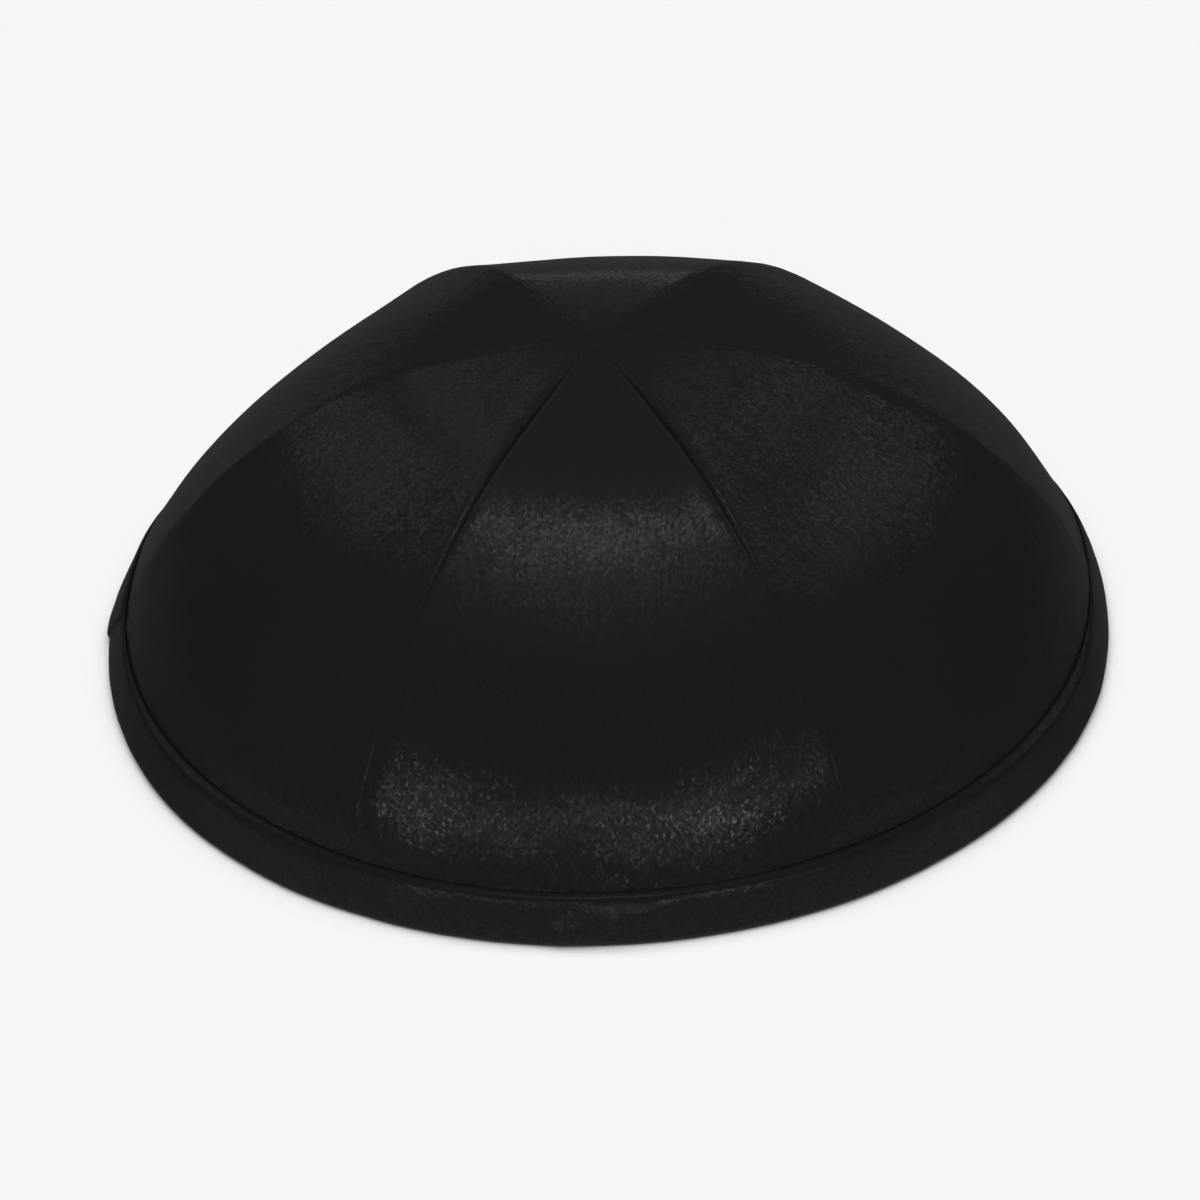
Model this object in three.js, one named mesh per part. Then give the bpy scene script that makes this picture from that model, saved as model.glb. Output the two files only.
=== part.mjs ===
// Skull cap sewn from six pointed gores, with a binding folded over the lower edge.
// Millimetres, +Z up, standing on the rim. The front gore faces -Y.
import * as THREE from 'three';

// Driving dimensions
const WALL = 1.1;              // thickness of a gore's cloth wall
const SEAM_GAP = 0.3;          // clear gap between neighbouring gores along a seam
const TIP_RADIUS = 0.6;        // the gores stop this far from the crown point
const CREASE_ROWS = 17;        // rows of facets from the crown point to the binding
const GORE_COLUMNS = 12;       // columns of facets across one gore
const OVAL = { amount: 0.023, azimuth: 28 };   // the soft rim is slightly oval: share of the radius, direction of the long axis
const CROWN_LEAN = { x: -1.6, y: 0 };          // the crown point sits this far off the rim's centre

// Meridian sections along a seam, crown point first, at equal steps along the cloth.
// radius: seam line from the axis; height: above the surface it stands on;
// roundness: 0 leaves the gore straight from seam to seam, 1 makes the level section round.
const SECTIONS = [
  { radius: 0.0, height: 58.4, roundness: 0.00 },
  { radius: 11.3, height: 57.3, roundness: 0.03 },
  { radius: 22.4, height: 55.7, roundness: 0.10 },
  { radius: 33.0, height: 53.0, roundness: 0.18 },
  { radius: 42.9, height: 48.6, roundness: 0.30 },
  { radius: 52.2, height: 42.9, roundness: 0.46 },
  { radius: 60.5, height: 36.2, roundness: 0.62 },
  { radius: 67.9, height: 28.2, roundness: 0.75 },
  { radius: 74.3, height: 18.8, roundness: 0.87 },
  { radius: 79.1, height: 7.5, roundness: 1.00 },
];

// The gores' lower allowance, tucked between the two leaves of the binding.
const TUCK = [
  { radius: 79.65, height: 5.0, roundness: 1.0 },
  { radius: 80.25, height: 2.2, roundness: 1.0 },
];

// Gores in order round the cap. seam: azimuth in degrees of the seam where each one starts.
const GORES = [
  { name: 'panel_back_right', seam: 1.5 },
  { name: 'panel_back', seam: 58.2 },
  { name: 'panel_back_left', seam: 119.4 },
  { name: 'panel_front_left', seam: 184.6 },
  { name: 'panel_front', seam: 239.9 },
  { name: 'panel_front_right', seam: 299.6 },
];

// Section of the binding, once round: the outer leaf from its upper fold down to the rim,
// the inner leaf up, and the slot that holds the gores. lump: share of the join's extra thickness.
const BINDING = [
  { radius: 79.45, height: 7.35, lump: 0.0 },
  { radius: 79.95, height: 7.80, lump: 0.3 },
  { radius: 80.60, height: 7.35, lump: 0.8 },
  { radius: 81.30, height: 5.90, lump: 1.0 },
  { radius: 81.85, height: 4.30, lump: 1.0 },
  { radius: 82.15, height: 2.70, lump: 1.0 },
  { radius: 82.20, height: 1.30, lump: 1.0 },
  { radius: 82.00, height: 0.45, lump: 0.6 },
  { radius: 81.40, height: 0.00, lump: 0.0 },
  { radius: 79.40, height: 0.00, lump: 0.0 },
  { radius: 78.45, height: 0.45, lump: 0.0 },
  { radius: 77.90, height: 1.60, lump: 0.0 },
  { radius: 77.20, height: 4.00, lump: 0.0 },
  { radius: 76.60, height: 6.30, lump: 0.0 },
  { radius: 76.60, height: 7.10, lump: 0.0 },
  { radius: 77.10, height: 7.50, lump: 0.0 },
  { radius: 77.60, height: 7.10, lump: 0.0 },
  { radius: 78.80, height: 1.70, lump: 0.0 },
  { radius: 80.70, height: 1.65, lump: 0.0 },
];

// Where the binding's two ends overlap: extra: outward thickness at that azimuth in degrees.
const JOIN = [
  { azimuth: 174.5, extra: 0.0 },
  { azimuth: 177.0, extra: 0.45 },
  { azimuth: 182.0, extra: 0.45 },
  { azimuth: 183.6, extra: 0.0 },
];

const seamLine = new THREE.CatmullRomCurve3(
  SECTIONS.map((s) => new THREE.Vector3(s.radius, s.height, s.roundness)), false, 'catmullrom', 0.5);

// Point of the cap from its radius, azimuth in radians, height and share of the crown's lean.
function place(radius, azimuth, height, lean) {
  const oval = 1 + OVAL.amount * Math.cos(2 * (azimuth - THREE.MathUtils.degToRad(OVAL.azimuth)));
  return [
    radius * oval * Math.cos(azimuth) + CROWN_LEAN.x * lean,
    radius * oval * Math.sin(azimuth) + CROWN_LEAN.y * lean,
    height,
  ];
}

// Closed body from a grid of points that wraps in the second direction.
// ring[i][j]: row i, place j once round the section. The ends are closed unless the rows wrap too.
function closedBody(rings, wrapRows) {
  const positions = rings.flat(2);
  const n = rings[0].length;
  const rows = rings.length;
  const index = [];
  for (let i = 0; i < (wrapRows ? rows : rows - 1); i++) {
    for (let j = 0; j < n; j++) {
      const a = i * n + j;
      const b = i * n + (j + 1) % n;
      const c = ((i + 1) % rows) * n + j;
      const d = ((i + 1) % rows) * n + (j + 1) % n;
      index.push(a, b, d, a, d, c);
    }
  }
  if (!wrapRows) {
    // an end ring has its outer points first and its inner points, reversed, after them
    const half = n / 2;
    for (let j = 0; j < half - 1; j++) {
      const last = (rows - 1) * n;
      index.push(j, n - 1 - j, n - 2 - j, j, n - 2 - j, j + 1);
      index.push(last + j, last + n - 2 - j, last + n - 1 - j, last + j, last + j + 1, last + n - 2 - j);
    }
  }
  let volume = 0;
  const at = (k) => new THREE.Vector3(positions[3 * k], positions[3 * k + 1], positions[3 * k + 2]);
  for (let k = 0; k < index.length; k += 3) {
    volume += at(index[k]).dot(at(index[k + 1]).cross(at(index[k + 2])));
  }
  if (volume < 0) {
    for (let k = 0; k < index.length; k += 3) [index[k + 1], index[k + 2]] = [index[k + 2], index[k + 1]];
  }
  const geometry = new THREE.BufferGeometry();
  geometry.setAttribute('position', new THREE.Float32BufferAttribute(positions, 3));
  geometry.setIndex(index);
  geometry.computeVertexNormals();
  return geometry;
}

// Rows of a gore: seam radius, height, roundness and share of the crown's lean.
const firstRow = TIP_RADIUS / (SECTIONS[1].radius * (SECTIONS.length - 1));
const goreRows = [];
for (let i = 0; i <= CREASE_ROWS; i++) {
  const t = firstRow + (1 - firstRow) * i / CREASE_ROWS;
  const p = seamLine.getPoint(t);
  goreRows.push({ radius: p.x, height: p.y, roundness: p.z, lean: 1 - t });
}
for (const s of TUCK) goreRows.push({ radius: s.radius, height: s.height, roundness: s.roundness, lean: 0 });

// Level section: radius at an azimuth as a share of the seam radius.
function levelShare(roundness, fromMiddle, halfAngle) {
  const straight = Math.cos(halfAngle) / Math.cos(fromMiddle);
  return straight * (1 - roundness) + roundness;
}

function goreGeometry(start, end) {
  const half = (end - start) / 2;
  const middle = (end + start) / 2;
  const rings = goreRows.map((row, i) => {
    const before = goreRows[Math.max(i - 1, 0)];
    const after = goreRows[Math.min(i + 1, goreRows.length - 1)];
    const margin = Math.asin(SEAM_GAP / 2 / row.radius);
    const outer = [];
    const inner = [];
    for (let j = 0; j <= GORE_COLUMNS; j++) {
      const fromMiddle = (half - margin) * (2 * j / GORE_COLUMNS - 1);
      const azimuth = middle + fromMiddle;
      const radius = row.radius * levelShare(row.roundness, fromMiddle, half);
      const slope = new THREE.Vector2(
        after.radius * levelShare(after.roundness, fromMiddle, half) - before.radius * levelShare(before.roundness, fromMiddle, half),
        after.height - before.height).normalize();
      outer.push(place(radius, azimuth, row.height, row.lean));
      inner.push(place(radius + WALL * slope.y, azimuth, row.height - WALL * slope.x, row.lean));
    }
    return outer.concat(inner.reverse());
  });
  return closedBody(rings, false);
}

// Extra thickness of the binding at an azimuth in degrees.
function joinExtra(azimuth) {
  for (let k = 1; k < JOIN.length; k++) {
    const a = JOIN[k - 1];
    const b = JOIN[k];
    if (azimuth >= a.azimuth && azimuth <= b.azimuth) {
      return a.extra + (b.extra - a.extra) * (azimuth - a.azimuth) / (b.azimuth - a.azimuth);
    }
  }
  return 0;
}

function bindingGeometry() {
  const azimuths = JOIN.map((j) => j.azimuth);
  GORES.forEach((gore, k) => {
    const end = k + 1 < GORES.length ? GORES[k + 1].seam : GORES[0].seam + 360;
    for (let j = 0; j < GORE_COLUMNS; j++) azimuths.push(gore.seam + (end - gore.seam) * j / GORE_COLUMNS);
  });
  azimuths.sort((a, b) => a - b);
  // columns closer than one degree are left out, except at the join
  const kept = azimuths.filter((a, k) => k === 0 || a - azimuths[k - 1] > 1 || JOIN.some((j) => j.azimuth === a));
  const rings = kept.map((degrees) => {
    const extra = joinExtra(degrees);
    return BINDING.map((s) => place(s.radius + s.lump * extra, THREE.MathUtils.degToRad(degrees), s.height, 0));
  });
  return closedBody(rings, true);
}

const satin = () => new THREE.MeshStandardMaterial({ color: 0x1a1b1d, roughness: 0.42, metalness: 0 });
const bindingSatin = () => new THREE.MeshStandardMaterial({ color: 0x1c1d1f, roughness: 0.48, metalness: 0 });

const kippah = new THREE.Group();
GORES.forEach((gore, k) => {
  const end = k + 1 < GORES.length ? GORES[k + 1].seam : GORES[0].seam + 360;
  const mesh = new THREE.Mesh(
    goreGeometry(THREE.MathUtils.degToRad(gore.seam), THREE.MathUtils.degToRad(end)), satin());
  mesh.name = gore.name;
  kippah.add(mesh);
});
const rim = new THREE.Mesh(bindingGeometry(), bindingSatin());
rim.name = 'rim_binding';
kippah.add(rim);

// The origin is the middle of the rim's box, on the surface it stands on.
const box = new THREE.Box3().setFromObject(kippah);
kippah.position.set(-(box.min.x + box.max.x) / 2, -(box.min.y + box.max.y) / 2, 0);

export default kippah;
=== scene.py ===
"""Black satin kippah of six gores with a bound rim, on a pale studio floor.

Lengths in the tables are millimetres and are turned into metres when a mesh is made.
"""

import math

import bpy
import numpy as np
from mathutils import Matrix, Vector, noise


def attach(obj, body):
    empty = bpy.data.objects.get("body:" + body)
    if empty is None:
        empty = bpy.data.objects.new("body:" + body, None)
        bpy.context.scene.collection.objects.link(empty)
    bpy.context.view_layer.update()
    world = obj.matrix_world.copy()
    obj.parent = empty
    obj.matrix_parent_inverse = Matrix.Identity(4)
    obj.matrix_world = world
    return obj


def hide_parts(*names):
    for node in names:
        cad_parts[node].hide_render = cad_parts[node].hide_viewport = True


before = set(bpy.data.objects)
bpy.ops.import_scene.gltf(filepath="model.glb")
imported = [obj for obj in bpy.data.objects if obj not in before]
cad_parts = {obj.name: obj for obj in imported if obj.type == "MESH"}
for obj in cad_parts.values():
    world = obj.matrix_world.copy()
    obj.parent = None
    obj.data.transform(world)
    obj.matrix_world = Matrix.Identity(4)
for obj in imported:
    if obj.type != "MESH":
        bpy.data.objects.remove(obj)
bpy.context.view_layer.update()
MM = 0.001


# ---------------------------------------------------------------- camera
# The view of the photograph: direction, distance, lens and the small turn of its frame.
CAMERA = {"azimuth": 0.817, "elevation": 36.936, "distance": 915.7, "aim": (-1.35, 7.97, 0.0), "turn": -1.038, "lens": 163.30}


def make_camera():
    az, el, turn = (math.radians(CAMERA[k]) for k in ("azimuth", "elevation", "turn"))
    back = Vector((math.sin(az) * math.cos(el), -math.cos(az) * math.cos(el), math.sin(el)))
    right = (-back).cross(Vector((0, 0, 1))).normalized()
    up = right.cross(-back)
    right, up = right * math.cos(turn) + up * math.sin(turn), up * math.cos(turn) - right * math.sin(turn)
    data = bpy.data.cameras.new("camera")
    data.lens, data.sensor_width, data.sensor_fit = CAMERA["lens"], 36.0, "HORIZONTAL"
    data.clip_start, data.clip_end = 0.05, 50.0
    cam = bpy.data.objects.new("camera", data)
    bpy.context.scene.collection.objects.link(cam)
    turn_by = Matrix((right, up, back)).transposed().to_4x4()
    place = (Vector(CAMERA["aim"]) + back * CAMERA["distance"]) * MM
    cam.matrix_world = Matrix.Translation(place) @ turn_by
    bpy.context.scene.camera = cam


make_camera()


# ---------------------------------------------------------------- sizes and tables of the cap
SHIFT = (0.230, -0.018)          # the rim's centre in the frame
OVAL = (0.023, 28.0)             # share of the radius, direction of the long axis
LEAN = (-1.6, 0.0)               # where the crown point sits off the centre
WALL = 1.1

# Meridian along a seam from the crown to the binding: radius, height, roundness of the level section.
SECTIONS = np.array([
    (0.0, 58.4, 0.00), (11.3, 57.3, 0.03), (22.4, 55.7, 0.10), (33.0, 53.0, 0.18), (42.9, 48.6, 0.30),
    (52.2, 42.9, 0.46), (60.5, 36.2, 0.62), (67.9, 28.2, 0.75), (74.3, 18.8, 0.87), (79.1, 7.5, 1.00),
])
TUCK = np.array([(79.45, 6.3, 1.0), (79.70, 5.0, 1.0), (79.97, 3.6, 1.0), (80.22, 2.3, 1.0)])

GORES = (
    ("panel_back_right", 1.5, 58.2), ("panel_back", 58.2, 119.4), ("panel_back_left", 119.4, 184.6),
    ("panel_front_left", 184.6, 239.9), ("panel_front", 239.9, 299.6), ("panel_front_right", 299.6, 361.5),
)

# Relief of the cloth, in millimetres.
# Each seam: azimuth, gap, depth and width of the roll beside it, all from crown (0) to rim (1) at the places in SEAM_AT.
# The two front seams are drawn in on their upper half and the two back ones towards the rim; the others lie flat.
SEAM_AT = (0.0, 0.10, 0.22, 0.44, 0.60, 1.0)
QUIET = {"gap": (0.03,) * 6, "depth": (0.04, 0.05, 0.06, 0.07, 0.07, 0.07), "width": (0.60,) * 6}
DRAWN = {"gap": (0.03, 0.04, 0.06, 0.06, 0.03, 0.03), "depth": (0.14, 0.45, 0.85, 0.62, 0.14, 0.06), "width": (0.90, 1.35, 1.75, 1.65, 0.90, 0.70)}
REAR = {"gap": (0.03, 0.03, 0.03, 0.03, 0.04, 0.05), "depth": (0.04, 0.05, 0.06, 0.07, 0.10, 0.40), "width": (0.60, 0.60, 0.60, 0.60, 0.80, 1.30)}
SEAMS = {1.5: QUIET, 58.2: REAR, 119.4: REAR, 184.6: QUIET, 239.9: DRAWN, 299.6: DRAWN}
RIDGE = {"height": 0.05, "at": 2.4, "width": 1.6}  # the allowance behind the seam lifts the cloth beside it
WAVES = {"height": 0.16, "length": 26.0}           # slow unevenness of the cloth
PUCKER = {"height": 0.055, "length": 3.4, "reach": 4.5}   # short pulls across a seam
CREASE = {"depth": 0.01, "reach": 0.50, "turn": 0.20, "turn_reach": 3.3}   # the gores dip where the binding starts
CROWN_DIMPLE = {"depth": 0.45, "reach": 1.8}
# Round the sides and the back the tape's upper edge is pulled flat against the gores: azimuth and how far inwards.
BAND_FLAT = np.array([(0, 0.60), (150, 0.60), (176, 0.56), (186, 0.40), (198, 0.18), (212, 0.05), (328, 0.05), (340, 0.20), (350, 0.44), (357, 0.58), (360, 0.60)])
# How a seam wanders off its azimuth, in degrees, from crown (0) to rim (1).
SEAM_DRIFT = {184.6: ((0.0, 0.0), (0.20, 0.0), (0.32, -1.2), (0.45, -1.0), (0.62, -0.5), (0.78, 0.0), (1.0, 0.0))}


def natural_spline(values):
    """Natural cubic spline through values at equal steps of 0..1, as a function of an array."""
    y = np.asarray(values, float)
    n = len(y)
    h = 1.0 / (n - 1)
    a = np.zeros((n, n))
    b = np.zeros_like(y)
    a[0, 0] = a[-1, -1] = 1
    for i in range(1, n - 1):
        a[i, i - 1], a[i, i], a[i, i + 1] = h, 4 * h, h
        b[i] = 6 * ((y[i + 1] - y[i]) / h - (y[i] - y[i - 1]) / h)
    m = np.linalg.solve(a, b)

    def at(t):
        t = np.clip(np.asarray(t, float), 0, 1)
        k = np.minimum((t / h).astype(int), n - 2)
        u = t - k * h
        w = h - u
        return (m[k] * w ** 3 + m[k + 1] * u ** 3) / (6 * h) + (y[k] / h - m[k] * h / 6) * w + (y[k + 1] / h - m[k + 1] * h / 6) * u

    return at


SEAM_RADIUS, SEAM_HEIGHT, ROUNDNESS = (natural_spline(SECTIONS[:, c]) for c in range(3))


# How the soft cap has settled off its plain shape: where, how far outwards, and over what reach.
SETTLE = (
    {"azimuth": 29.0, "height": 20.0, "out": 0.68, "azimuth_reach": 16.0, "height_reach": 13.0},
    {"azimuth": 151.0, "height": 25.0, "out": -0.55, "azimuth_reach": 14.0, "height_reach": 13.0},
    {"azimuth": 121.5, "height": 35.0, "out": 0.80, "azimuth_reach": 6.0, "height_reach": 7.0},
    {"azimuth": 16.0, "height": 8.0, "out": 0.60, "azimuth_reach": 9.0, "height_reach": 5.0},
    {"azimuth": 165.0, "height": 8.0, "out": 0.68, "azimuth_reach": 8.0, "height_reach": 5.0},
)
# The lower edge of the binding stands out a little more at the front: azimuth and distance outwards.
RIM_OUT = np.array([
    (0, 0.0), (20, 0.0), (120, 0.0), (188, -0.05), (200, 0.15), (208, 0.45), (217, 0.65), (229, 0.65), (242, 0.50), (257, 0.45),
    (270, 0.36), (283, 0.36), (296, 0.50), (307, 0.55), (317, 0.66), (327, 0.75), (337, 0.80), (345, 0.60), (352, 0.25), (360, 0.0),
])


def put(radius, azimuth, height, lean):
    """Place in millimetres from radius, azimuth in radians, height and share of the crown's lean."""
    oval = 1 + OVAL[0] * np.cos(2 * (azimuth - math.radians(OVAL[1])))
    for s in SETTLE:
        off = (np.degrees(azimuth) - s["azimuth"] + 180) % 360 - 180
        radius = radius + s["out"] * np.exp(-(off / s["azimuth_reach"]) ** 2 - ((height - s["height"]) / s["height_reach"]) ** 2)
    return np.stack([
        radius * oval * np.cos(azimuth) + LEAN[0] * lean + SHIFT[0],
        radius * oval * np.sin(azimuth) + LEAN[1] * lean + SHIFT[1],
        height + np.zeros_like(azimuth),
    ], -1)


def perlin(points, length, seed):
    """Smooth noise of about -1..1 at points in millimetres, with features of that length."""
    off = Vector((17.3 * seed, -9.1 * seed, 4.7 * seed))
    flat = np.asarray(points, float).reshape(-1, 3) / length
    return np.array([noise.noise(Vector(p) + off) for p in flat]).reshape(np.asarray(points).shape[:-1])


def mesh_object(name, verts, faces, uvs, smooth=True):
    """Mesh from an array of points in millimetres, quads and one uv (millimetres) for each corner."""
    mesh = bpy.data.meshes.new(name)
    mesh.vertices.add(len(verts))
    mesh.vertices.foreach_set("co", (np.asarray(verts) * MM).astype(np.float32).ravel())
    faces = np.asarray(faces, np.int32)
    mesh.loops.add(faces.size)
    mesh.loops.foreach_set("vertex_index", faces.ravel())
    mesh.polygons.add(len(faces))
    mesh.polygons.foreach_set("loop_start", np.arange(0, faces.size, 4, dtype=np.int32))
    mesh.polygons.foreach_set("use_smooth", np.full(len(faces), smooth))
    layer = mesh.uv_layers.new(name="cloth")
    layer.data.foreach_set("uv", np.asarray(uvs, np.float32).reshape(-1, 2).ravel())
    mesh.update(calc_edges=True)
    mesh.validate()
    obj = bpy.data.objects.new(name, mesh)
    bpy.context.scene.collection.objects.link(obj)
    return obj


def smoothstep(x):
    x = np.clip(x, 0, 1)
    return x * x * (3 - 2 * x)


# ---------------------------------------------------------------- gores
EDGE_STEPS = np.array([0, .02, .07, .15, .25, .37, .50, .65, .85, 1.15, 1.6, 2.2, 3.0, 4.0])
MIDDLE_CELLS = 46


def row_places():
    """Places of the rows: t from the crown to the crease, then the tucked rows (t past 1)."""
    first = 0.10 / (SECTIONS[1, 0] * (len(SECTIONS) - 1))
    near = np.array([0.0, 0.0012, 0.003, 0.006, 0.010, 0.015]) + first
    body = np.linspace(first + 0.022, 0.955, 104)
    low = 1 - np.array([4.0, 3.2, 2.5, 1.9, 1.4, 1.0, 0.65, 0.35, 0.12]) / 103.0
    return np.concatenate([near, body, low, [1.0]])


def seam_value(azimuth, key, t):
    """Gap, depth or width of the seam at an azimuth in radians, at a place from crown (0) to rim (1)."""
    seam = min(SEAMS, key=lambda a: abs((a - math.degrees(azimuth) + 180) % 360 - 180))
    return float(np.interp(t, SEAM_AT, SEAMS[seam][key]))


def seam_azimuth(azimuth, t):
    """Azimuth of a seam in radians at a place from crown (0) to rim (1)."""
    if azimuth not in SEAM_DRIFT:
        return math.radians(azimuth)
    table = np.array(SEAM_DRIFT[azimuth])
    return math.radians(azimuth + float(np.interp(t, table[:, 0], table[:, 1])))


def level_section(radius, roundness, half):
    """Level section of a gore from seam to seam: fine angles from its middle, share of the seam radius and arc length."""
    angle = np.linspace(-half, half, 241)
    share = (1 - roundness) * math.cos(half) / np.cos(angle) + roundness
    x, y = radius * share * np.cos(angle), radius * share * np.sin(angle)
    arc = np.concatenate([[0], np.cumsum(np.hypot(np.diff(x), np.diff(y)))])
    return angle, arc


def make_gore(name, start, end, seed):
    ts = row_places()
    rows = [(float(SEAM_RADIUS(t)), float(SEAM_HEIGHT(t)), float(ROUNDNESS(t)), 1 - t) for t in ts]
    rows += [(r, z, q, 0.0) for r, z, q in TUCK]
    sides = np.array([(seam_azimuth(start, 1 - row[3]), seam_azimuth(end % 360, 1 - row[3]) + (2 * math.pi if end > 360 else 0)) for row in rows])
    start, end = math.radians(start), math.radians(end)
    half, middle = (sides[:, 1] - sides[:, 0])[:, None] / 2, (sides[:, 1] + sides[:, 0])[:, None] / 2
    columns = len(EDGE_STEPS) * 2 + MIDDLE_CELLS - 1
    angle = np.zeros((len(rows), columns))
    from_seam = np.zeros_like(angle)
    roll_depth = np.zeros_like(angle)
    roll_width = np.zeros_like(angle)
    across = np.zeros_like(angle)
    width = np.zeros(len(rows))
    for i, (radius, height, roundness, lean) in enumerate(rows):
        fine, arc = level_section(radius, roundness, float(half[i, 0]))
        width[i] = arc[-1]
        edge = EDGE_STEPS * min(1.0, arc[-1] / 14.0)
        near, far = (edge + seam_value(a, "gap", 1 - lean) / 2 * min(1.0, arc[-1] / 2.0) for a in (start, end))
        inside = np.linspace(near[-1], arc[-1] - far[-1], MIDDLE_CELLS + 1)[1:-1]
        place = np.concatenate([near, inside, (arc[-1] - far)[::-1]])
        angle[i] = np.interp(place, arc, fine)
        from_seam[i] = np.minimum(place - near[0], arc[-1] - far[0] - place)
        roll_depth[i] = np.where(place < arc[-1] / 2, *(seam_value(a, "depth", 1 - lean) for a in (start, end)))
        roll_width[i] = np.where(place < arc[-1] / 2, *(seam_value(a, "width", 1 - lean) for a in (start, end)))
        across[i] = place - arc[-1] / 2
    radius = np.array([r[0] for r in rows])[:, None]
    height = np.array([r[1] for r in rows])[:, None]
    roundness = np.array([r[2] for r in rows])[:, None]
    lean = np.array([r[3] for r in rows])[:, None]
    share = (1 - roundness) * np.cos(half) / np.cos(angle) + roundness
    reach = radius * share
    along = np.concatenate([[0], np.cumsum(np.hypot(np.diff(radius[:, 0]), np.diff(height[:, 0])))])[:, None] + np.zeros_like(angle)
    to_crease = along[len(ts) - 1] - along

    # direction of the relief: square to the surface within the meridian's plane
    d_reach, d_height = np.gradient(reach, axis=0), np.gradient(height + np.zeros_like(reach), axis=0)
    size = np.hypot(d_reach, d_height)
    out_r, out_z = -d_height / size, d_reach / size

    nominal = put(reach, middle + angle, height + np.zeros_like(reach), lean)

    scale = np.minimum(1.0, width / 14.0)[:, None]
    lip = np.clip(1 - from_seam / (roll_width * scale), 0, 1)
    groove = -roll_depth * scale * lip ** 3
    ridge = RIDGE["height"] * scale * np.exp(-((from_seam - RIDGE["at"] * scale) / (RIDGE["width"] * scale)) ** 2)
    above = np.maximum(to_crease, 0)
    free = 1 - 0.6 * np.interp(np.degrees(middle + angle) % 360, BAND_FLAT[:, 0], BAND_FLAT[:, 1]) / BAND_FLAT[:, 1].max()
    crease = -free * (CREASE["depth"] * np.exp(-(above / CREASE["reach"]) ** 2) + CREASE["turn"] * np.exp(-(above / CREASE["turn_reach"]) ** 2))
    dimple = -CROWN_DIMPLE["depth"] * np.exp(-(along / CROWN_DIMPLE["reach"]) ** 2)
    edge_fade = smoothstep(from_seam / (3.0 * scale)) * smoothstep(to_crease / 4.0)
    waves = WAVES["height"] * edge_fade * scale * (
        perlin(nominal, WAVES["length"], seed) + 0.45 * perlin(nominal, WAVES["length"] * 0.42, seed + 20))
    side = np.where(across < 0, 0.0, 60.0)
    pull = perlin(np.stack([side, along / 1.0, np.zeros_like(along) + seed * 7.0], -1), PUCKER["length"], seed + 40)
    pucker = PUCKER["height"] * scale * pull * np.exp(-from_seam / PUCKER["reach"]) * smoothstep(from_seam / 0.8)
    arc_way = (middle + angle) * reach
    pull_rim = perlin(np.stack([arc_way, np.zeros_like(arc_way), np.zeros_like(arc_way) + seed], -1), PUCKER["length"], seed + 60)
    pucker += PUCKER["height"] * pull_rim * np.exp(-np.maximum(to_crease, 0) / PUCKER["reach"]) * smoothstep(to_crease / 0.6)
    relief = groove + ridge + crease + dimple + waves + pucker

    outer = put(reach + relief * out_r, middle + angle, height + relief * out_z, lean)

    # inner face: plain, with the pressed allowance a little proud beside the seams
    allowance = 0.35 * scale * (1 - smoothstep((from_seam - 6.0 * scale) / (0.8 * scale))) * smoothstep(along / 14.0) * (to_crease > -0.5)
    depth = WALL + allowance - 0.55 * waves
    inner = put(reach - depth * out_r, middle + angle, height - depth * out_z, lean)

    ring = np.concatenate([outer, inner[:, ::-1]], 1)
    ring_u = np.concatenate([across, across[:, ::-1]], 1)
    ring_v = np.concatenate([along, along], 1)
    count, n = ring.shape[:2]
    i, j = np.meshgrid(np.arange(count - 1), np.arange(n), indexing="ij")
    a, b = i * n + j, i * n + (j + 1) % n
    faces = [np.stack([a, b, b + n, a + n], -1).reshape(-1, 4)]
    k = np.arange(columns - 1)
    faces.append(np.stack([k, n - 1 - k, n - 2 - k, k + 1], -1))
    last = (count - 1) * n
    faces.append(np.stack([last + k, last + k + 1, last + n - 2 - k, last + n - 1 - k], -1))
    faces = np.concatenate(faces)
    uv = np.stack([ring_u, ring_v], -1).reshape(-1, 2)
    cut = {"width": float(width.max()) * MM, "length": float(along.max()) * MM,
           "area": float(((width[1:] + width[:-1]) / 2 * np.diff(along[:, 0])).sum()) * MM * MM}
    return mesh_object(name, ring.reshape(-1, 3), faces[:, ::-1], uv[faces[:, ::-1]]), cut


# ---------------------------------------------------------------- binding
# Section of the folded binding, once round: radius, height, share of the outer relief, share of the flattening.
BAND = np.array([
    (79.04, 7.05, 0.0, -0.17), (78.87, 7.62, 0.0, -0.17), (78.93, 7.83, 0.1, -0.02), (79.20, 7.91, 0.4, 0.45),
    (79.74, 7.82, 0.7, 0.92), (80.12, 7.34, 0.9, 1.0), (80.54, 6.42, 1.0, 0.8), (81.16, 4.80, 1.0, 0.4),
    (81.72, 3.20, 1.0, 0.1), (82.10, 1.90, 1.0, 0.0), (82.12, 0.85, 0.8, 0.0), (81.78, 0.20, 0.3, 0.0),
    (81.20, 0.00, 0.0, 0.0), (80.30, 0.00, 0.0, 0.0), (79.40, 0.00, 0.0, 0.0), (78.70, 0.22, 0.0, 0.0),
    (78.22, 0.90, 0.0, 0.0), (77.80, 2.00, 0.0, 0.0), (77.30, 3.80, 0.0, 0.0), (76.85, 5.60, 0.0, 0.0),
    (76.60, 6.70, 0.0, 0.0), (76.75, 7.30, 0.0, 0.0), (77.20, 7.45, 0.0, 0.0), (77.60, 7.00, 0.0, 0.0),
    (78.20, 4.60, 0.0, 0.0), (78.75, 1.95, 0.0, 0.0), (79.70, 1.60, 0.0, 0.0), (80.62, 1.85, 0.0, 0.0),
    (80.02, 4.60, 0.0, 0.0),
])
BAND_AROUND = 432
BAND_BULGE = {"height": 0.12, "length": 11.0}     # slow puffiness along the band
BAND_DRAG = {"height": 0.05, "length": 3.1, "slant": 0.8}   # slanted pulls of bias cloth
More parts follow.
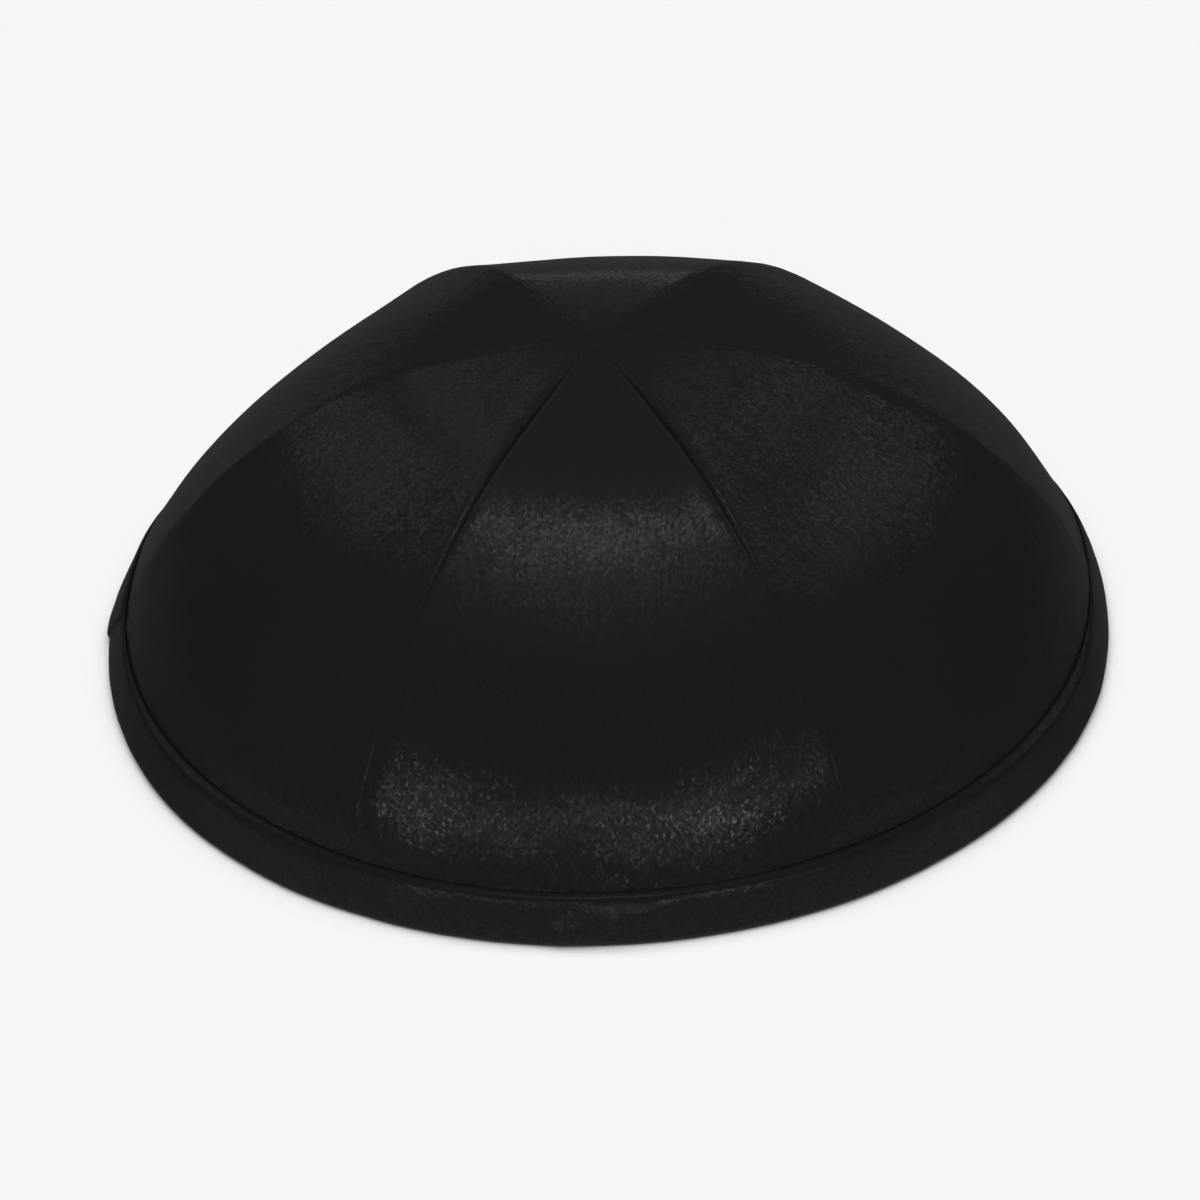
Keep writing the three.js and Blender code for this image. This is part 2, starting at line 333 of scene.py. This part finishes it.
# Folds: azimuth of the middle, height there, length along the rim, rise in height over that length, width of
# the ridge and its height.
BAND_FOLDS = (
    {"azimuth": 270.0, "height": 4.0, "length": 21.0, "rise": 4.8, "width": 1.80, "lift": 0.50},
    {"azimuth": 268.5, "height": 6.0, "length": 8.0, "rise": 1.2, "width": 0.90, "lift": 0.16},
)
# The join: one end of the tape lies over the other. Azimuth and distance outwards, and how far the end runs on
# the bias, in degrees for each millimetre of height.
BAND_JOIN = np.array([(0, 0), (169.0, 0), (173.0, 0.22), (176.5, 0.30), (179.0, 0.52), (181.7, 0.56), (182.6, 0.0), (360, 0)])
BAND_BIAS = 0.35


def closed_curve(points, count_each):
    """Catmull-Rom through a closed list of rows, with count_each steps between rows."""
    n = len(points)
    out = []
    for i in range(n):
        p0, p1, p2, p3 = (points[(i + k) % n] for k in (-1, 0, 1, 2))
        for s in range(count_each):
            u = s / count_each
            out.append(0.5 * (2 * p1 + (p2 - p0) * u + (2 * p0 - 5 * p1 + 4 * p2 - p3) * u * u + (3 * p1 - p0 - 3 * p2 + p3) * u ** 3))
    return np.array(out)


def make_binding():
    section = closed_curve(BAND, 2)
    n = len(section)
    even = np.linspace(0, 360, BAND_AROUND, endpoint=False)
    even = even[(even < 181.1) | (even > 185.3)]
    azimuth = np.radians(np.sort(np.concatenate([even, np.arange(181.2, 185.2, 0.22)])))
    around = len(azimuth)
    radius, height, share = (np.broadcast_to(section[None, :, c], (around, n)) for c in range(3))
    share = np.clip(share, 0, 1)
    ahead, behind = np.roll(section, -1, 0), np.roll(section, 1, 0)
    d_r, d_z = ahead[:, 0] - behind[:, 0], ahead[:, 1] - behind[:, 1]
    size = np.hypot(d_r, d_z)
    out_r, out_z = -d_z / size, d_r / size          # section runs clockwise: outward normal
    az = np.broadcast_to(azimuth[:, None], (around, n))
    arc = az * 81.0
    nominal = put(radius, az, height, 0.0)
    puff = BAND_BULGE["height"] * perlin(np.stack([nominal[..., 0], nominal[..., 1], height * 0.4], -1), BAND_BULGE["length"], 3)
    slant = arc + BAND_DRAG["slant"] * height
    wrapped = np.stack([80 * np.cos(slant / 81.0), 80 * np.sin(slant / 81.0), height * 0.25], -1)
    drag = BAND_DRAG["height"] * perlin(wrapped, BAND_DRAG["length"], 5)
    relief = share * (puff + drag)
    end = np.degrees(az) % 360 - BAND_BIAS * (height - 2.0)
    relief = relief + share * np.interp(end, BAND_JOIN[:, 0], BAND_JOIN[:, 1])
    for f in BAND_FOLDS:
        off = (np.degrees(az) - f["azimuth"] + 180) % 360 - 180
        s = np.radians(off) * 81.0
        line = f["height"] + f["rise"] * s / f["length"]
        fade = 1 - smoothstep((np.abs(s) - f["length"] * 0.30) / (f["length"] * 0.25))
        relief = relief + share * f["lift"] * fade * np.exp(-((height - line) / f["width"]) ** 2)
    sign = np.sign((section[:, 0] - 79.4) * out_r).mean()
    direction = 1.0 if sign > 0 else -1.0
    face = smoothstep((radius - 79.3) / 1.0)
    stands_out = np.interp(np.degrees(az) % 360, RIM_OUT[:, 0], RIM_OUT[:, 1]) * face
    flat = np.interp(np.degrees(az) % 360, BAND_FLAT[:, 0], BAND_FLAT[:, 1]) * section[None, :, 3]
    verts = put(radius + stands_out - flat + direction * relief * out_r, az, height + direction * relief * out_z, 0.0)
    verts[..., 2] = np.maximum(verts[..., 2], 0.0)
    steps = np.concatenate([[0], np.cumsum(np.hypot(np.diff(section[:, 0]), np.diff(section[:, 1])))])
    total = steps[-1] + np.hypot(*(section[0, :2] - section[-1, :2]))
    i, j = np.meshgrid(np.arange(around), np.arange(n), indexing="ij")
    i2, j2 = (i + 1) % around, (j + 1) % n
    faces = np.stack([i * n + j, i * n + j2, i2 * n + j2, i2 * n + j], -1).reshape(-1, 4)
    round_the_rim = np.append(azimuth, 2 * math.pi) * 81
    u0, u1 = round_the_rim[i], round_the_rim[i + 1]
    v0, v1 = steps[j], np.where(j + 1 < n, np.append(steps, total)[j + 1], total)
    uv = np.stack([np.stack([u0, v0], -1), np.stack([u0, v1], -1), np.stack([u1, v1], -1), np.stack([u1, v0], -1)], -2).reshape(-1, 4, 2)
    return mesh_object("rim_binding_cloth", verts.reshape(-1, 3), faces, uv)


# ---------------------------------------------------------------- materials
def node(tree, kind, at, **settings):
    n = tree.nodes.new(kind)
    n.location = at
    for k, v in settings.items():
        if k in n.inputs:
            n.inputs[k].default_value = v
        else:
            setattr(n, k, v)
    return n


def satin(name, look):
    """Satin cloth. Every grain of the weave is a small facet with a lean of its own, wider across the cloth's floats than
    along them, and every grain has its own shine; long floats and slow streaks add their relief."""
    m = bpy.data.materials.new(name)
    m.use_nodes = True
    t = m.node_tree
    t.nodes.clear()
    out = node(t, "ShaderNodeOutputMaterial", (1500, 0))
    bsdf = node(t, "ShaderNodeBsdfPrincipled", (1200, 0))
    t.links.new(bsdf.outputs[0], out.inputs["Surface"])
    bsdf.inputs["IOR"].default_value = 1.5

    uv = node(t, "ShaderNodeUVMap", (-1500, 0), uv_map="cloth")
    turned = node(t, "ShaderNodeMapping", (-1300, 0))
    turned.inputs["Rotation"].default_value = (0, 0, look["angle"])
    t.links.new(uv.outputs[0], turned.inputs["Vector"])

    def scaled(scale, place, shift=0.0):
        mp = node(t, "ShaderNodeMapping", place)
        mp.inputs["Scale"].default_value = (*scale, 1)
        mp.inputs["Location"].default_value = (shift, -shift, 0)
        t.links.new(turned.outputs[0], mp.inputs["Vector"])
        return mp.outputs[0]

    def cloth_noise(scale, place, detail, strength, shift=0.0):
        n = node(t, "ShaderNodeTexNoise", place, Scale=1.0, Detail=detail, Roughness=strength)
        t.links.new(scaled(scale, (place[0] - 210, place[1]), shift), n.inputs["Vector"])
        return n.outputs["Fac"]

    def spread(source, place, low, high, to_low, to_high):
        r = node(t, "ShaderNodeMapRange", place)
        for name_in, v in (("From Min", low), ("From Max", high), ("To Min", to_low), ("To Max", to_high)):
            r.inputs[name_in].default_value = v
        t.links.new(source, r.inputs["Value"])
        return r.outputs[0]

    def vector_maths(kind, place, first, second=None):
        v = node(t, "ShaderNodeVectorMath", place, operation=kind)
        t.links.new(first, v.inputs[0])
        if second is not None:
            t.links.new(second, v.inputs["Scale" if kind == "SCALE" else 1])
        return v.outputs[0]

    floats = cloth_noise(FLOATS, (-850, 450), 2.0, 0.6)
    slow = cloth_noise(SLOW, (-850, -650), 2.0, 0.5)
    grains = node(t, "ShaderNodeTexVoronoi", (-850, 50), voronoi_dimensions="2D", feature="F1", Scale=1.0, Randomness=1.0)
    t.links.new(scaled(GRAIN, (-1060, 50)), grains.inputs["Vector"])
    lean = node(t, "ShaderNodeSeparateColor", (-640, 50))
    t.links.new(grains.outputs["Color"], lean.inputs[0])

    tint = node(t, "ShaderNodeMix", (-200, 450), data_type="RGBA")
    tint.inputs[6].default_value = (*look["dark"], 1)
    tint.inputs[7].default_value = (*look["colour"], 1)
    t.links.new(floats, tint.inputs[0])
    colour = tint.outputs[2]
    if "painted_shade" in look:
        # painted shade: the base colour along the tape's upper edge, drawn into the crease by its stitching, is
        # darkened to stand for the shade there; from and to along the section, and how dark
        low, high, dark = look["painted_shade"]
        apart = node(t, "ShaderNodeSeparateXYZ", (-640, 700))
        t.links.new(uv.outputs[0], apart.inputs[0])
        painted_shade = spread(apart.outputs[1], (-420, 700), low, high, dark, 1.0)
        scaled_colour = node(t, "ShaderNodeVectorMath", (0, 600), operation="SCALE")
        t.links.new(colour, scaled_colour.inputs[0])
        t.links.new(painted_shade, scaled_colour.inputs["Scale"])
        colour = scaled_colour.outputs[0]
    t.links.new(colour, bsdf.inputs["Base Color"])

    rough = look["roughness"]
    t.links.new(spread(lean.outputs[2], (-200, 220), 0.0, 1.0, rough - 0.03, rough + 0.03), bsdf.inputs["Roughness"])
    t.links.new(spread(lean.outputs[2], (-200, 20), 0.0, 1.0, look["level"] * 1.35, look["level"] * 0.65), bsdf.inputs["Specular IOR Level"])

    b2 = node(t, "ShaderNodeBump", (-200, -450), Strength=1.0, Distance=look["float_relief"] * MM)
    t.links.new(floats, b2.inputs["Height"])
    b3 = node(t, "ShaderNodeBump", (20, -500), Strength=1.0, Distance=SLOW_RELIEF * MM)
    t.links.new(slow, b3.inputs["Height"])
    t.links.new(b2.outputs[0], b3.inputs["Normal"])

    # each grain leans: normal + across * tangent + along * bitangent
    tangent = node(t, "ShaderNodeTangent", (-200, -200), direction_type="UV_MAP", uv_map="cloth").outputs[0]
    bitangent = vector_maths("CROSS_PRODUCT", (20, -250), b3.outputs[0], tangent)
    c, d = math.cos(look["angle"]), math.sin(look["angle"])
    across = spread(lean.outputs[0], (240, 100), 0.0, 1.0, -look["lean_across"], look["lean_across"])
    along = spread(lean.outputs[1], (240, -50), 0.0, 1.0, -look["lean_along"], look["lean_along"])
    if look["angle"]:
        def turned_lean(place, kx, ky):
            part = node(t, "ShaderNodeMath", place, operation="MULTIPLY")
            t.links.new(across, part.inputs[0])
            part.inputs[1].default_value = kx
            both = node(t, "ShaderNodeMath", (place[0] + 160, place[1]), operation="MULTIPLY_ADD")
            t.links.new(along, both.inputs[0])
            both.inputs[1].default_value = ky
            t.links.new(part.outputs[0], both.inputs[2])
            return both.outputs[0]

        across, along = turned_lean((420, 200), c, d), turned_lean((420, -20), -d, c)
    lean_1 = vector_maths("SCALE", (760, 0), tangent, across)
    lean_2 = vector_maths("SCALE", (760, -150), bitangent, along)
    leant = vector_maths("ADD", (930, -80), lean_1, lean_2)
    leant = vector_maths("ADD", (930, -230), b3.outputs[0], leant)
    t.links.new(vector_maths("NORMALIZE", (1080, -230), leant), bsdf.inputs["Normal"])
    return m


def floor_material():
    m = bpy.data.materials.new("studio_floor")
    m.use_nodes = True
    t = m.node_tree
    bsdf = t.nodes["Principled BSDF"]
    bsdf.inputs["Roughness"].default_value = 0.9
    bsdf.inputs["Specular IOR Level"].default_value = 0.1
    grain = node(t, "ShaderNodeTexNoise", (-500, 0), Scale=3.0, Detail=3.0, Roughness=0.5)
    mix = node(t, "ShaderNodeMix", (-250, 0), data_type="RGBA")
    mix.inputs[6].default_value = (0.86, 0.86, 0.86, 1)
    mix.inputs[7].default_value = (0.88, 0.88, 0.88, 1)
    co = node(t, "ShaderNodeTexCoord", (-700, 0))
    t.links.new(co.outputs["Object"], grain.inputs["Vector"])
    t.links.new(grain.outputs["Fac"], mix.inputs[0])
    t.links.new(mix.outputs[2], bsdf.inputs["Base Color"])
    return m


# Scales on the cloth, in features for each millimetre across and along it.
FLOATS = (2.4, 0.45)
GRAIN = (2.5, 2.0)
SLOW = (0.40, 0.07)
SLOW_RELIEF = 0.08
SATIN = satin("satin_black", {
    "colour": (0.0100, 0.0105, 0.0117), "dark": (0.0080, 0.0084, 0.0095), "roughness": 0.20, "level": 0.50,
    "lean_across": 0.070, "lean_along": 0.032, "float_relief": 0.005, "angle": 0.0,
})
# the binding's upper edge carries painted shade: its base colour is darkened from 1.9 to 3.2 mm along the section, down
# to 0.70
BINDING = satin("satin_binding", {
    "colour": (0.0119, 0.0124, 0.0138), "dark": (0.0097, 0.0101, 0.0114), "roughness": 0.23, "level": 0.45,
    "lean_across": 0.06, "lean_along": 0.03, "float_relief": 0.005, "angle": math.radians(45), "painted_shade": (1.9, 3.2, 0.70),
})


# ---------------------------------------------------------------- the cap
for k, (node_name, start, end) in enumerate(GORES):
    gore, cut = make_gore(node_name + "_satin", start, end, k + 1)
    gore.data.materials.append(SATIN)
    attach(gore, "root")
    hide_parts(node_name)

band = make_binding()
band.data.materials.append(BINDING)
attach(band, "root")
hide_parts("rim_binding")


# ---------------------------------------------------------------- studio
def make_floor(reach=4.0, cells=48):
    """A floor of rings of cells that grow outwards."""
    radii = np.concatenate([[0.0], np.geomspace(0.05, reach, cells)])
    verts, faces = [(0.0, 0.0, 0.0)], []
    around = 64
    for r in radii[1:]:
        for k in range(around):
            a = 2 * math.pi * k / around
            verts.append((r * math.cos(a), r * math.sin(a), 0.0))
    for k in range(around):
        faces.append((0, 1 + k, 1 + (k + 1) % around))
    for i in range(len(radii) - 2):
        for k in range(around):
            a = 1 + i * around + k
            b = 1 + i * around + (k + 1) % around
            faces.append((a, a + around, b + around, b))
    mesh = bpy.data.meshes.new("floor")
    mesh.from_pydata(verts, [], faces)
    mesh.update()
    obj = bpy.data.objects.new("floor", mesh)
    obj.location.z = -0.0002
    bpy.context.scene.collection.objects.link(obj)
    mesh.materials.append(floor_material())
    return obj


# Soft lights: azimuth from the camera's side (0) to the right, elevation, distance, width, height, power.
LIGHTS = (
    {"name": "top_1", "azimuth": 0, "elevation": 74, "distance": 1.5, "width": 0.60, "height": 0.10, "power": 0.050},
    {"name": "top_2", "azimuth": 0, "elevation": 81, "distance": 1.5, "width": 0.70, "height": 0.06, "power": 0.071},
    {"name": "top_3", "azimuth": 0, "elevation": 83, "distance": 1.5, "width": 0.45, "height": 0.08, "power": 0.088},
    {"name": "top_4", "azimuth": 0, "elevation": 84, "distance": 1.5, "width": 1.20, "height": 0.08, "power": 0.036},
    {"name": "top_5", "azimuth": 0, "elevation": 86, "distance": 1.5, "width": 0.45, "height": 0.08, "power": 0.126},
    {"name": "front_1", "azimuth": -35, "elevation": 9, "distance": 1.5, "width": 0.07, "height": 0.07, "power": 0.102},
    {"name": "front_2", "azimuth": -35, "elevation": 17, "distance": 1.5, "width": 0.07, "height": 0.07, "power": 0.097},
    {"name": "front_3", "azimuth": -28, "elevation": 26, "distance": 1.5, "width": 0.07, "height": 0.07, "power": 0.086},
    {"name": "front_4", "azimuth": -21, "elevation": 17, "distance": 1.5, "width": 0.07, "height": 0.07, "power": 0.077},
    {"name": "front_5", "azimuth": -14, "elevation": 13, "distance": 1.5, "width": 0.07, "height": 0.07, "power": 0.045},
    {"name": "front_6", "azimuth": -7, "elevation": 21, "distance": 1.5, "width": 0.07, "height": 0.07, "power": 0.059},
    {"name": "front_7", "azimuth": 0, "elevation": 26, "distance": 1.5, "width": 0.07, "height": 0.07, "power": 0.051},
    {"name": "front_8", "azimuth": 7, "elevation": 13, "distance": 1.5, "width": 0.07, "height": 0.07, "power": 0.060},
    {"name": "front_9", "azimuth": 7, "elevation": 21, "distance": 1.5, "width": 0.07, "height": 0.07, "power": 0.082},
    {"name": "front_10", "azimuth": 21, "elevation": 17, "distance": 1.5, "width": 0.07, "height": 0.07, "power": 0.140},
    {"name": "front_11", "azimuth": 28, "elevation": 13, "distance": 1.5, "width": 0.07, "height": 0.07, "power": 0.142},
    {"name": "front_12", "azimuth": 28, "elevation": 26, "distance": 1.5, "width": 0.07, "height": 0.07, "power": 0.070},
    {"name": "front_13", "azimuth": 42, "elevation": 17, "distance": 1.5, "width": 0.07, "height": 0.07, "power": 0.065},
    {"name": "back_left_1", "azimuth": -156, "elevation": 40, "distance": 1.5, "width": 0.45, "height": 0.26, "power": 0.059},
    {"name": "back_left_2", "azimuth": -140, "elevation": 52, "distance": 1.5, "width": 0.45, "height": 0.26, "power": 0.053},
    {"name": "back_left_3", "azimuth": -134, "elevation": 26, "distance": 1.5, "width": 0.26, "height": 0.16, "power": 0.047},
    {"name": "back_left_4", "azimuth": -124, "elevation": 40, "distance": 1.5, "width": 0.45, "height": 0.26, "power": 0.090},
    {"name": "back_right_1", "azimuth": 108, "elevation": 40, "distance": 1.5, "width": 0.45, "height": 0.26, "power": 0.045},
    {"name": "back_right_2", "azimuth": 122, "elevation": 26, "distance": 1.5, "width": 0.26, "height": 0.16, "power": 0.042},
    {"name": "back_right_3", "azimuth": 122, "elevation": 36, "distance": 1.5, "width": 0.26, "height": 0.16, "power": 0.053},
    {"name": "back_right_4", "azimuth": 140, "elevation": 40, "distance": 1.5, "width": 0.45, "height": 0.26, "power": 0.075},
    {"name": "back_right_5", "azimuth": 156, "elevation": 40, "distance": 1.5, "width": 0.45, "height": 0.26, "power": 0.039},
    {"name": "back_1", "azimuth": 180, "elevation": 3, "distance": 1.5, "width": 0.30, "height": 0.10, "power": 0.033},
    {"name": "back_2", "azimuth": 180, "elevation": 13, "distance": 1.5, "width": 0.26, "height": 0.08, "power": 0.007},
    {"name": "back_3", "azimuth": 180, "elevation": 19, "distance": 1.5, "width": 0.20, "height": 0.08, "power": 0.004},
)
# A broad soft wash from above that shows in no reflection, so that the floor stays pale and the cloth black.
WASH = {"height": 2.2, "size": 2.6, "power": 70.0}
# Brightness of the dim room: below the horizon and just above it, on the far side and on the camera's side, and overhead.
ROOM = {"low_far": 0.057, "low_near": 0.165, "wall_far": 0.025, "wall_near": 0.073, "ceiling": 0.050}


def make_light(row):
    az, el = math.radians(row["azimuth"]), math.radians(row["elevation"])
    way = Vector((math.sin(az) * math.cos(el), -math.cos(az) * math.cos(el), math.sin(el)))
    data = bpy.data.lights.new(row["name"], "AREA")
    data.shape = "RECTANGLE"
    data.size, data.size_y = row["width"], row["height"]
    data.energy = row["power"]
    lamp = bpy.data.objects.new("light_" + row["name"], data)
    lamp.location = way * row["distance"] + Vector((0, 0, 0.03))
    lamp.rotation_mode = "QUATERNION"
    lamp.rotation_quaternion = way.to_track_quat("Z", "Y")
    bpy.context.scene.collection.objects.link(lamp)
    return lamp


floor = make_floor()
floor.visible_glossy = False
for row in LIGHTS:
    make_light(row)
wash = make_light({"name": "floor_wash", "azimuth": 0, "elevation": 90, "distance": WASH["height"], "width": WASH["size"], "height": WASH["size"], "power": WASH["power"]})
wash.visible_glossy = False



def make_room():
    """World shader: brightness from the direction's height and depth."""
    world = bpy.data.worlds.new("studio")
    world.use_nodes = True
    t = world.node_tree
    background = t.nodes["Background"]
    background.inputs[0].default_value = (1, 1, 1, 1)
    way = node(t, "ShaderNodeTexCoord", (-1200, 0))
    parts = node(t, "ShaderNodeSeparateXYZ", (-1000, 0))
    t.links.new(way.outputs["Generated"], parts.inputs[0])

    def turn_on(axis, low, high, before, after, place):
        """A value or a socket before low, another after high, and a smooth change between."""
        share = node(t, "ShaderNodeMapRange", place, interpolation_type="SMOOTHSTEP")
        share.inputs["From Min"].default_value = low
        share.inputs["From Max"].default_value = high
        t.links.new(parts.outputs[axis], share.inputs["Value"])
        mix = node(t, "ShaderNodeMix", (place[0] + 200, place[1]), data_type="FLOAT")
        t.links.new(share.outputs[0], mix.inputs[0])
        for slot, v in ((2, before), (3, after)):
            if isinstance(v, float):
                mix.inputs[slot].default_value = v
            else:
                t.links.new(v, mix.inputs[slot])
        return mix.outputs[0]

    low = turn_on("Y", -0.3, 0.3, ROOM["low_near"], ROOM["low_far"], (-750, 200))
    wall = turn_on("Y", -0.3, 0.3, ROOM["wall_near"], ROOM["wall_far"], (-750, -50))
    upper = turn_on("Z", 0.45, 0.75, wall, ROOM["ceiling"], (-450, -100))
    t.links.new(turn_on("Z", -0.10, 0.04, low, upper, (-200, 0)), background.inputs[1])
    return world


world = make_room()
bpy.context.scene.world = world
bpy.context.scene.view_settings.view_transform = "Standard"
bpy.context.scene.view_settings.look = "None"
bpy.context.scene.view_settings.exposure = 0.0
